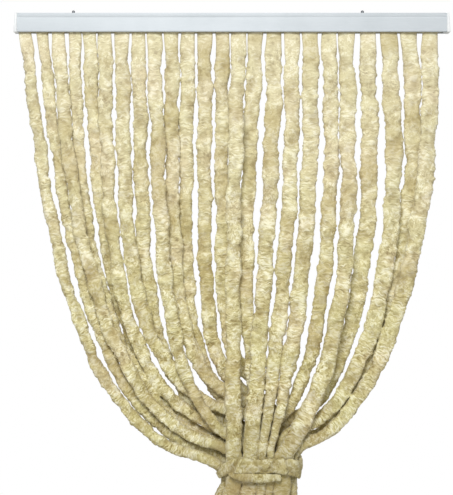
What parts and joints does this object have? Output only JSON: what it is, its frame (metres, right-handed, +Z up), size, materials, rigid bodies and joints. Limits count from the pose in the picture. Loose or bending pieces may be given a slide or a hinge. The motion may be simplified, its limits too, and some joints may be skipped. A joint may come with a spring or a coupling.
{
  "type": "chenille fly curtain on its rail",
  "caption": "Fly curtain of thick chenille strands that hang from a slotted metal rail with end caps and are drawn together by a tie of the same yarn.",
  "frame": {"origin": "middle of the rail's flat back face", "axes": "+X along the rail to the viewer's right, +Y out of the back towards the wall, so that -Y is the front, +Z up"},
  "size_m": [0.9006, 0.1015, 1.9889],
  "materials": {
    "rail": "satin, pale silver",
    "cap": "smooth, off-white",
    "steel": "dull grey",
    "chenille": "crushed pile, straw beige",
    "tie": "crushed pile, straw beige"
  },
  "bodies": {
    "root": {"rail": "rail", "end_cap_left": "cap", "end_cap_right": "cap", "hanger_left": "steel", "hanger_right": "steel", "strands": "chenille", "tie": "tie"}
  },
  "joints": []
}
